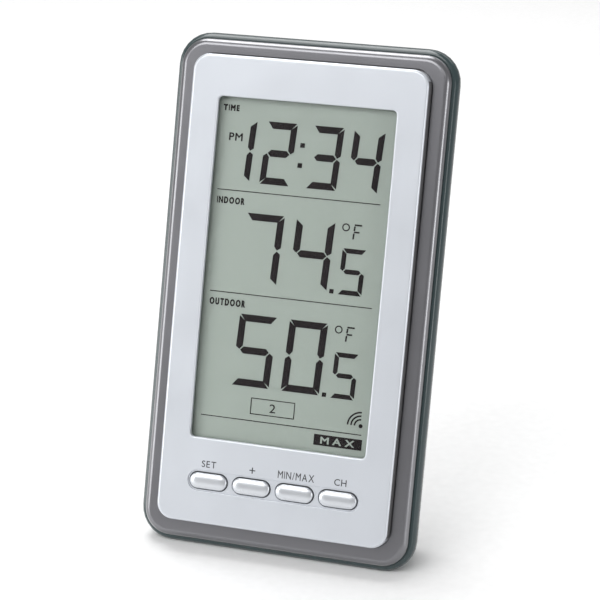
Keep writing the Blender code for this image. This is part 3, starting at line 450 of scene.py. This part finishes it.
def make_lights():
    """A wide soft box in front and above, one overhead, one on each side, two that whiten the floor
    farther off, and an even pale sky."""
    scene = bpy.context.scene
    scene.view_settings.view_transform = "Standard"
    world = bpy.data.worlds.new("world")
    world.use_nodes = True
    background = world.node_tree.nodes["Background"]
    background.inputs["Color"].default_value = (1, 1, 1, 1)
    background.inputs["Strength"].default_value = 0.4
    scene.world = world
    area_light("front_box", (-0.52, -1.35, 1.3), (1.2, 1.1), 13)
    area_light("overhead_box", (-0.27, 0.35, 1.1), (0.7, 0.7), 9)
    area_light("left_box", (-0.36, -0.3, 0.12), (0.2, 0.3), 0.9)
    area_light("right_box", (0.8, -0.3, 0.12), (0.25, 0.5), 2.2)
    for side in (-1, 1):
        area_light("floor_wash", (0, side * 1.9, 1.7), (3.2, 0.8), 16, (0, side * 2.1, 0))


# ---------------------------------------------------------------- front pieces


def make_bezel():
    low, high = node_box("front_bezel")
    width, height = high.x - low.x, high.z - low.z
    middle = (0, (low.z + high.z) / 2)
    panel_low, panel_high = node_box("face_panel")
    panel_w, panel_h = panel_high.x - panel_low.x, panel_high.z - panel_low.z

    def ring(inset, depth):
        size = (width - 2 * inset, height - 2 * inset)
        return outline(*size, BEZEL_CORNER - inset, middle, steps=16), depth

    def pocket(out, depth):
        size = (panel_w + 2 * out, panel_h + 2 * out)
        return outline(*size, PANEL_CORNER + out, bow=PANEL_BOW, steps=12), depth

    bm = bmesh.new()
    shoulder = [ring(*pair) for pair in arc(0, BEZEL_FRONT + BEZEL_SHOULDER, BEZEL_SHOULDER, 14)]
    lip = [ring(LIP_INSET, LIP_BACK), ring(LIP_INSET, BEZEL_BACK)]
    outer = loft(bm, lip + [ring(0, BEZEL_BACK)] + shoulder)
    groove = [(GROOVE_GAP + GROOVE_EDGE, BEZEL_FRONT), (GROOVE_GAP, BEZEL_FRONT + GROOVE_EDGE)]
    well = loft(bm, [pocket(*pair) for pair in groove + [(GROOVE_GAP, GROOVE_FLOOR)]])
    fill(bm, outer[-1], well[0])
    skirt = -PANEL_WALL - GROOVE_GAP
    plateau = loft(bm, [pocket(skirt, GROOVE_FLOOR), pocket(skirt, PLATEAU_FRONT)])
    fill(bm, well[-1], plateau[0])
    window = node_middle("window_lens")
    openings = [outline(*LENS_OPENING, OPENING_CORNER, (0, window.z))]
    for name in KEYS:
        key = node_middle(name)
        openings.append(outline(*KEY_OPENING, OPENING_CORNER, (key.x, key.z), steps=3, side=2))
    holes = [loft(bm, [(opening, PLATEAU_FRONT), (opening, PLATE_BACK)]) for opening in openings]
    fill(bm, plateau[-1], *[hole[0] for hole in holes])
    inside = loft(bm, [ring(LIP_INSET + LIP_WALL, PLATE_BACK), ring(LIP_INSET + LIP_WALL, LIP_BACK)])
    fill(bm, inside[0], *[hole[1] for hole in holes])
    for near, far in zip(wrap(inside[1]), wrap(outer[0])):
        bm.faces.new((near[0], near[1], far[1], far[0]))
    for kind, (radius, bore, back) in BOSSES.items():
        for number in range(1, 5):
            screw = node_middle(f"{kind}_screw_{number}")
            profile = [(radius, BOSS_FRONT), (radius, back), (bore, back), (bore, BORE_FRONT)]
            add_boss(bm, (screw.x, screw.z), profile)
    bezel = smooth(piece_from(bm, "bezel", gunmetal))
    settle(bezel, "case", "bezel_paint", "front_bezel")


def add_boss(bm, at, profile):
    """A turned boss from (radius, depth) points in millimetres, closed at both ends."""
    turns = [2 * math.pi * side / BOSS_SIDES for side in range(BOSS_SIDES)]
    loops = []
    for radius, depth in profile:
        reach = radius * MM
        points = [(at[0] + reach * math.cos(turn), at[1] + reach * math.sin(turn)) for turn in turns]
        loops.append((points, depth * MM))
    rings = loft(bm, loops)
    bm.faces.new(rings[0])
    bm.faces.new(rings[-1])


def make_panel():
    low, high = node_box("face_panel")
    width, height = high.x - low.x, high.z - low.z
    back = high.y
    window = (0, node_middle("window_lens").z)
    keys = [node_middle(name) for name in KEYS]

    def rim(inset, depth):
        size = (width - 2 * inset, height - 2 * inset)
        return outline(*size, PANEL_CORNER - inset, bow=PANEL_BOW, steps=12), depth

    def lip(out, depth):
        size = (WINDOW_W + 2 * out, WINDOW_H + 2 * out)
        return outline(*size, WINDOW_CORNER + out, window, WINDOW_BOW, 6), depth

    def capsule(width, height, x, out, depth):
        width, height = width + 2 * out, height + 2 * out
        return outline(width, height, height / 2 - CAPSULE_FLAT, (x, keys[0].z), side=4), depth

    bm = bmesh.new()
    edge_rings = [rim(*pair) for pair in arc(0, PANEL_EDGE, PANEL_EDGE, 6)]
    edge = loft(bm, [rim(0, back)] + edge_rings)
    opening = loft(bm, [lip(*pair) for pair in round_lip(WINDOW_LIP, 6) + [(0, PANEL_WALL)]])
    channel_rings = round_lip(CHANNEL_LIP, 3) + [(0, CHANNEL_DEPTH)]
    channel = loft(bm, [capsule(CHANNEL_W, CHANNEL_H, 0, *pair) for pair in channel_rings])
    fill(bm, edge[-1], opening[0], channel[0])
    hole_size = (KEY_W + 2 * KEY_GAP, KEY_H + 2 * KEY_GAP)
    hole_rings = [(HOLE_EDGE, CHANNEL_DEPTH), (0, CHANNEL_DEPTH + HOLE_EDGE), (0, PANEL_WALL)]
    holes = []
    for key in keys:
        holes.append(loft(bm, [capsule(*hole_size, key.x, *pair) for pair in hole_rings]))
    fill(bm, channel[-1], *[hole[0] for hole in holes])
    inner = loft(bm, [rim(PANEL_WALL, PANEL_WALL), rim(PANEL_WALL, back)])
    fill(bm, inner[0], opening[-1], *[hole[-1] for hole in holes])
    for near, far in zip(wrap(inner[1]), wrap(edge[0])):
        bm.faces.new((near[0], near[1], far[1], far[0]))
    panel = piece_from(bm, "panel", silver, panel_side_painted_shade)
    # faces on the panel's sides take the dark grey second slot: painted shade on the walls that stand
    # beside the bezel
    for face in panel.data.polygons:
        x, y, z = face.center
        outward = abs(x) > width / 2 - SIDE_BAND or abs(z) > height / 2 - SIDE_BAND
        if outward and y > PANEL_EDGE * 0.8:
            face.material_index = 1
    smooth(panel)
    settle(panel, "case", "panel_paint", "face_panel")


def round_lip(radius, steps):
    """(outset, depth) pairs of a quarter round that rolls from the front face into an opening."""
    pairs = []
    for step in range(steps + 1):
        angle = math.pi / 2 * step / steps
        pairs.append((radius * (1 - math.sin(angle)), radius * (1 - math.cos(angle))))
    return pairs


def make_key(name):
    """A pillow-shaped cap: its section is half an ellipse, above a short straight wall."""
    middle = node_middle(name)
    rise = -KEY_WALL - node_box(name)[0].y
    section = [(0, KEY_FOOT)]
    for step in range(KEY_STEPS):
        angle = math.pi / 2 * step / KEY_STEPS
        section.append((1 - math.cos(angle), -rise * math.sin(angle)))
    rings = []
    for inset, depth in section:
        height = KEY_H * (1 - KEY_CROWN * inset)
        width = KEY_W - KEY_H + height
        points = outline(width, height, height / 2 * KEY_ROUND, (middle.x, middle.z), side=6)
        rings.append((points, depth))
    bm = bmesh.new()
    loops = loft(bm, rings)
    fill(bm, loops[-1])
    fill(bm, loops[0])
    key = smooth(piece_from(bm, name + "_cap", key_silver), 60)
    settle(key, name, "key_paint", name)


# ---------------------------------------------------------------- marks on the display and the panel


def flat_marks(name, shapes, material, front, thickness=MARK_T):
    """Thin flat marks, each a closed outline of (x, z) points in millimetres."""
    bm = bmesh.new()
    for shape in shapes:
        near = [bm.verts.new((x * MM, front, z * MM)) for x, z in shape]
        far = [bm.verts.new((x * MM, front + thickness, z * MM)) for x, z in shape]
        bm.faces.new(near)
        bm.faces.new(far)
        for front_pair, back_pair in zip(wrap(near), wrap(far)):
            bm.faces.new((*front_pair, back_pair[1], back_pair[0]))
    return piece_from(bm, name, material)


def segments(width, height, bar, post):
    """The seven segments of a digit, a to g, with its lower left corner at the origin."""
    middle = height / 2
    cut, gap, drop, inset = 0.22, 0.13, 0.42, 0.32
    top = height - drop
    upright = [(0, top), (post, top - 0.8 * post), (post, middle + gap + 0.55 * post)]
    upright += [(post * 0.55, middle + gap), (0, middle + gap + 0.4 * post)]
    run = 0.8 * bar
    flat = [(cut, height), (width - cut, height)]
    flat += [(width - cut - run, height - bar), (cut + run, height - bar)]
    tip = post / 2 + inset
    point = 0.48 * bar
    half = [(tip, middle), (tip + point, middle + bar / 2), (width - tip - point, middle + bar / 2)]
    centre = half + [(width - tip, middle)]
    centre += [(width - tip - point, middle - bar / 2), (tip + point, middle - bar / 2)]

    def flip(shape, across, down):
        return [(width - x if across else x, height - z if down else z) for x, z in shape]

    return {
        "a": flat,
        "b": flip(upright, True, False),
        "c": flip(upright, True, True),
        "d": flip(flat, False, True),
        "e": flip(upright, False, True),
        "f": upright,
        "g": centre,
    }


def digit(figure, right, z_range, width, bar, post, slant):
    """A slanting digit, whose top right corner is at x = right."""
    low, high = z_range
    shapes = segments(width, high - low, bar, post)
    placed = []
    for letter in LIT[figure]:
        points = [(right - width + x + slant * (z - high + low), low + z) for x, z in shapes[letter]]
        placed.append(points)
    return placed


def bar_mark(x_range, z_range, lean=0.0):
    (left, right), (low, high) = x_range, z_range
    return [(left, low), (right, low), (right + lean, high), (left + lean, high)]


def arc_mark(at, radius, thickness, start, end, steps=20):
    """A curved band about a point, from one angle to another, in degrees."""
    turns = [math.radians(start + (end - start) * step / steps) for step in range(steps + 1)]
    outer, inner = (
        [(at[0] + reach * math.cos(turn), at[1] + reach * math.sin(turn)) for turn in turns]
        for reach in (radius + thickness / 2, radius - thickness / 2)
    )
    return outer + inner[::-1]


def ring_marks(at, radius, thickness):
    return [arc_mark(at, radius, thickness, start + HAIR, start + 180 - HAIR, 16) for start in (0, 180)]


def disc_mark(at, radius, steps=20):
    turns = [2 * math.pi * step / steps for step in range(steps)]
    return [(at[0] + radius * math.cos(turn), at[1] + radius * math.sin(turn)) for turn in turns]


def fahrenheit(left, low, high):
    """The F of the degree sign, in thin segments with gaps between them, which step left as it leans."""
    width, line, gap = 2.1, 0.44, 0.13
    middle = (low + high) / 2 + 0.1
    lean = 0.1
    shapes = [bar_mark((left + 0.3, left + 0.3 + width), (high - line, high))]
    shapes.append(bar_mark((left + 0.1, left + 0.1 + line), (middle + gap, high - line - gap), lean))
    shapes.append(bar_mark((left - 0.05, left - 0.05 + line), (low, middle - line - gap), lean))
    shapes.append(bar_mark((left + 0.25, left + 0.1 + width * 0.82), (middle - line, middle)))
    return shapes


def embolden(bm, weight):
    """Moves the outline of a flat shape outwards, in its own plane."""
    pushes = {}
    for edge in bm.edges:
        if len(edge.link_faces) == 1:
            along = (edge.verts[1].co - edge.verts[0].co).normalized()
            out = Vector((along.z, 0, -along.x))
            if out.dot(edge.link_faces[0].calc_center_median() - edge.verts[0].co) > 0:
                out.negate()
            for vertex in edge.verts:
                pushes.setdefault(vertex, []).append(out)
    for vertex, outs in pushes.items():
        middle = sum(outs, Vector()).normalized()
        vertex.co += middle * weight / max(0.6, middle.dot(outs[0]))


def character(letter):
    """A character of the built-in typeface as a flat mesh, one unit wide and high, and its width."""
    curve = bpy.data.curves.new(letter, "FONT")
    curve.body = letter
    curve.resolution_u = 6
    holder = bpy.data.objects.new(letter, curve)
    bpy.context.scene.collection.objects.link(holder)
    bpy.context.view_layer.update()
    shown = holder.evaluated_get(bpy.context.evaluated_depsgraph_get())
    mesh = bpy.data.meshes.new_from_object(shown)
    bpy.data.objects.remove(holder)
    xs = [vertex.co.x for vertex in mesh.vertices]
    ys = [vertex.co.y for vertex in mesh.vertices]
    width = max(xs) - min(xs)
    mesh.transform(Matrix.Translation((-min(xs), -min(ys), 0)))
    mesh.transform(Matrix.Diagonal((1 / width, 1 / (max(ys) - min(ys)), 1, 1)))
    return mesh, width


def word(name, text, x_range, z_range, material, front, thickness, weight=0.0, gap=0.3):
    """Upright lettering, fitted to a box of (x, z) ranges in millimetres, with even gaps."""
    letters = [character(letter) for letter in text]
    room = x_range[1] - x_range[0] - gap * (len(text) - 1)
    stretch = room / sum(width for _, width in letters)
    bm = bmesh.new()
    left = x_range[0]
    for mesh, width in letters:
        known = len(bm.verts)
        bm.from_mesh(mesh)
        bpy.data.meshes.remove(mesh)
        bm.verts.ensure_lookup_table()
        inner_w = width * stretch - 2 * weight
        inner_h = z_range[1] - z_range[0] - 2 * weight
        for vertex in bm.verts[known:]:
            x = left + weight + vertex.co.x * inner_w
            vertex.co = (x * MM, front, (z_range[0] + weight + vertex.co.y * inner_h) * MM)
        left += width * stretch + gap
    bmesh.ops.remove_doubles(bm, verts=bm.verts, dist=0.0001 * MM)
    if weight:
        embolden(bm, weight * MM)
    grown = bmesh.ops.extrude_face_region(bm, geom=bm.faces[:])
    for vertex in (part for part in grown["geom"] if isinstance(part, bmesh.types.BMVert)):
        vertex.co.y += thickness
    return piece_from(bm, name, material)


def make_display():
    """What the display shows: the time, the two temperatures and their signs."""
    gap = (node_box("lcd_panel")[0].y, node_box("window_lens")[1].y)
    front = sum(gap) / 2 + DISPLAY_SET_BACK

    def place(piece):
        piece.data.transform(Matrix.Translation(DISPLAY_SHIFT) @ Matrix.Diagonal(DISPLAY_SCALE))
        settle(piece, "case", "lcd_glass")

    def mark(name, shapes):
        place(flat_marks(name, shapes, crystal_black, front))

    def label(name, text, x_range, z_range, weight, gap=0.3):
        place(word(name, text, x_range, z_range, crystal_black, front, MARK_T, weight, gap))

    hours = []
    for figure, right in zip("1234", TIME_RIGHTS):
        hours += digit(figure, right, TIME_Z, *TIME_DIGIT)
    mark("display_time", hours + [bar_mark(*dot, DOT_LEAN) for dot in COLON])
    for name, figures, (low, high), right in READINGS:
        shapes = digit(figures[0], right - READING_PITCH, (low, high), *READING_DIGIT)
        shapes += digit(figures[1], right, (low, high), *READING_DIGIT)
        point_x = [right + x for x in POINT_X]
        shapes.append(bar_mark(point_x, [low + z for z in POINT_Z], DOT_LEAN))
        shapes += digit("5", right + TENTH_RIGHT, (low + POINT_Z[0], low + TENTH_TOP), *TENTH_DIGIT)
        mark(f"display_{name}", shapes)
        signs = ring_marks((right + DEGREE_AT[0], high + DEGREE_AT[1]), *DEGREE_RING)
        signs += fahrenheit(right + F_LEFT, high + F_Z[0], high + F_Z[1])
        mark(f"display_{name}_degree", signs)
    lines = [bar_mark(x_range, (z - LINE_HALF, z + LINE_HALF)) for x_range, z in LINES]
    mark("display_lines", lines)
    left, right, low, high = CHANNEL_BOX
    line = CHANNEL_BOX_LINE
    box = [bar_mark((left, right), (low, low + line)), bar_mark((left, right), (high - line, high))]
    upright_z = (low + line + HAIR, high - line - HAIR)
    box += [bar_mark((left, left + line), upright_z), bar_mark((right - line, right), upright_z)]
    mark("display_channel_box", box)
    radio = [disc_mark(RADIO_AT, RADIO_DOT)]
    radio += [arc_mark(RADIO_AT, radius, RADIO_ARC_W, 90, 180) for radius in RADIO_ARCS]
    mark("display_radio", radio)
    mark("display_badge", [bar_mark(*BADGE)])
    label("display_word_time", "TIME", (-23.5, -18.9), (49.8, 51.5), 0.12)
    label("display_word_pm", "PM", (-21.2, -17.3), (41.75, 43.9), 0.06)
    label("display_word_indoor", "INDOOR", (-23.1, -15.2), (24.45, 26.3), 0.11, 0.28)
    label("display_word_outdoor", "OUTDOOR", (-22.8, -12.5), (-3.6, -1.65), 0.11, 0.28)
    label("display_channel", "2", (-2.9, -1.2), (-31.6, -29.2), 0.01)
    badge_box = ((12.3, 21.9), (-38.15, -36.25))
    badge_front = front - MARK_T
    place(word("display_word_max", "MAX", *badge_box, display_green, badge_front, MARK_T, 0.08, 1.0))


def make_legends():
    for name, text, x_range, z_range in (
        ("set", "SET", (-20.95, -16.75), (-49.05, -47.2)),
        ("plus", "+", (-7.05, -5.35), (-49.0, -47.3)),
        ("min_max", "MIN/MAX", (1.2, 11.6), (-49.15, -47.1)),
        ("channel", "CH", (17.3, 20.8), (-49.05, -47.2)),
    ):
        box = (x_range, z_range)
        legend = word(f"legend_{name}", text, *box, legend_grey, PRINT_FRONT, PRINT_T, 0.02, 0.36)
        settle(legend, "case", "panel_paint")


def make_ridges():
    """The grip on the battery door's tongue, below its top edge."""
    high = node_box("battery_door")[1]
    top = high.z / MM
    lines = [bar_mark((-RIDGE_W / 2, RIDGE_W / 2), (top + z, top + z + RIDGE_H)) for z in RIDGE_Z]
    ridges = flat_marks("door_ridges", lines, teal_gloss, high.y - RIDGE_ROOT, RIDGE_RISE)
    settle(ridges, "battery_door", "cover_plastic")


# ---------------------------------------------------------------- pieces that keep their CAD form


def soften(node, material, ends=None):
    """Smooth shading, with crisp edges, for a CAD node that keeps its own form; ends is the
    material of the faces that look up or down the case."""
    obj = frame["nodes"][node]
    obj.data.materials.clear()
    obj.data.materials.append(material)
    if ends:
        obj.data.materials.append(ends)
    up = CASE.to_3x3().col[2]
    for face in obj.data.polygons:
        face.use_smooth = True
        face.material_index = 1 if ends and abs(face.normal.dot(up)) > END_TILT else 0
    weld = obj.modifiers.new("weld", "WELD")
    weld.merge_threshold = 0.001 * MM
    flats = obj.modifiers.new("flats", "DECIMATE")
    flats.decimate_type = "DISSOLVE"
    flats.angle_limit = FLAT_ANGLE
    split = obj.modifiers.new("split", "EDGE_SPLIT")
    split.split_angle = CREASE_ANGLE
    obj.modifiers.new("normals", "WEIGHTED_NORMAL")


KEYS = ("set_key", "plus_key", "min_max_key", "channel_key")

silver = finish_material(
    "silver_paint", (0.55, 0.575, 0.615), (0.28, 0.35), 0.4, 0.12 * MM, 0.0015 * MM, 0.03
)
# dark grey for the face panel's side walls: painted shade, not the panel's own silver
panel_side_painted_shade = finish_material(
    "panel_side_painted_shade", (0.13, 0.13, 0.135), (0.4, 0.5), 0.3, 0.12 * MM, 0.0015 * MM, 0.08
)
gunmetal = finish_material(
    "gunmetal_paint", (0.175, 0.175, 0.188), (0.3, 0.37), 0.85, 0.15 * MM, 0.002 * MM, 0.12, coat=1.0
)
key_silver = finish_material(
    "key_silver", (0.55, 0.57, 0.6), (0.26, 0.32), 0.7, 0.12 * MM, 0.0015 * MM, 0.03, coat=0.5
)
teal_gloss = finish_material("teal_gloss", (0.028, 0.046, 0.049), (0.1, 0.2), 0, 0.3 * MM, 0.001 * MM, 0.1)
floor_white = finish_material("floor_white", (0.86, 0.86, 0.86), (0.6, 0.8), 0, 3 * MM, 0.02 * MM, 0.02)
crystal_black = finish_material(
    "crystal_black", (0.012, 0.009, 0.01), (0.5, 0.6), 0, 0.3 * MM, 0.001 * MM, 0.2, specular=0.1
)
legend_grey = finish_material(
    "legend_grey", (0.035, 0.035, 0.04), (0.5, 0.6), 0, 0.15 * MM, 0.001 * MM, 0.15
)
steel = finish_material("steel", (0.55, 0.55, 0.56), (0.25, 0.4), 1.0, 0.1 * MM, 0.002 * MM, 0.1)
nickel = finish_material("nickel", (0.7, 0.67, 0.62), (0.2, 0.35), 1.0, 0.1 * MM, 0.001 * MM, 0.08)
copper = finish_material("copper", (0.72, 0.34, 0.17), (0.25, 0.4), 1.0, 0.12 * MM, 0.004 * MM, 0.15)
board_green = finish_material(
    "board_green", (0.02, 0.14, 0.06), (0.3, 0.45), 0, 0.8 * MM, 0.004 * MM, 0.25
)
black_plastic = finish_material(
    "black_plastic", (0.02, 0.02, 0.021), (0.4, 0.6), 0, 0.1 * MM, 0.004 * MM, 0.2
)
rubber = finish_material("rubber", (0.3, 0.3, 0.31), (0.7, 0.85), 0, 0.1 * MM, 0.004 * MM, 0.1)
zebra_rubber = finish_material("zebra_rubber", (0.6, 0.42, 0.46), (0.6, 0.8), 0, 0.08 * MM, 0.003 * MM, 0.2)
foil = finish_material(
    "reflector_foil", (0.62, 0.64, 0.62), (0.3, 0.45), 0.6, 0.15 * MM, 0.003 * MM, 0.06
)
red_wire = finish_material("red_wire", (0.5, 0.02, 0.015), (0.35, 0.5), 0, 0.2 * MM, 0.002 * MM, 0.1)
black_wire = finish_material(
    "black_wire", (0.018, 0.018, 0.018), (0.35, 0.5), 0, 0.2 * MM, 0.002 * MM, 0.2
)
display_green = display_material()
clear_window = clear_material()

KEPT = {
    clear_window: ["window_lens"],
    display_green: ["lcd_panel"],
    teal_gloss: ["rear_cover", "battery_door", "stand"],
    foil: ["lcd_reflector"],
    rubber: ["keypad"],
    zebra_rubber: ["zebra_strip_upper", "zebra_strip_lower"],
    black_plastic: ["lcd_frame", "controller_chip", "receiver_header", "thermistor"],
    board_green: ["main_board", "receiver_board"],
    copper: ["receiver_coil"],
    black_wire: ["antenna_wire", "wire_negative"],
    red_wire: ["wire_positive"],
    nickel: [
        "clock_crystal",
        "contact_bridge",
        "contact_positive",
        "contact_negative",
        "spring_bridge",
        "spring_negative",
    ],
    steel: [f"{kind}_screw_{number}" for kind in ("case", "board") for number in range(1, 5)],
}

make_camera()
make_floor()
make_lights()
make_bezel()
make_panel()
for key_name in KEYS:
    make_key(key_name)
make_display()
make_legends()
make_ridges()
for kept_material, kept_nodes in KEPT.items():
    for kept_node in kept_nodes:
        soften(kept_node, kept_material)
for cell_name, cell_end in (("battery_left", 1), ("battery_right", -1)):
    cell_top = CASE @ node_box(cell_name)[1 if cell_end > 0 else 0]
    cell_towards = cell_end * CASE.to_3x3().col[2]
    soften(cell_name, banded(f"{cell_name}_jacket", cell_top, cell_towards), nickel)
frame["nodes"]["window_lens"].visible_shadow = False
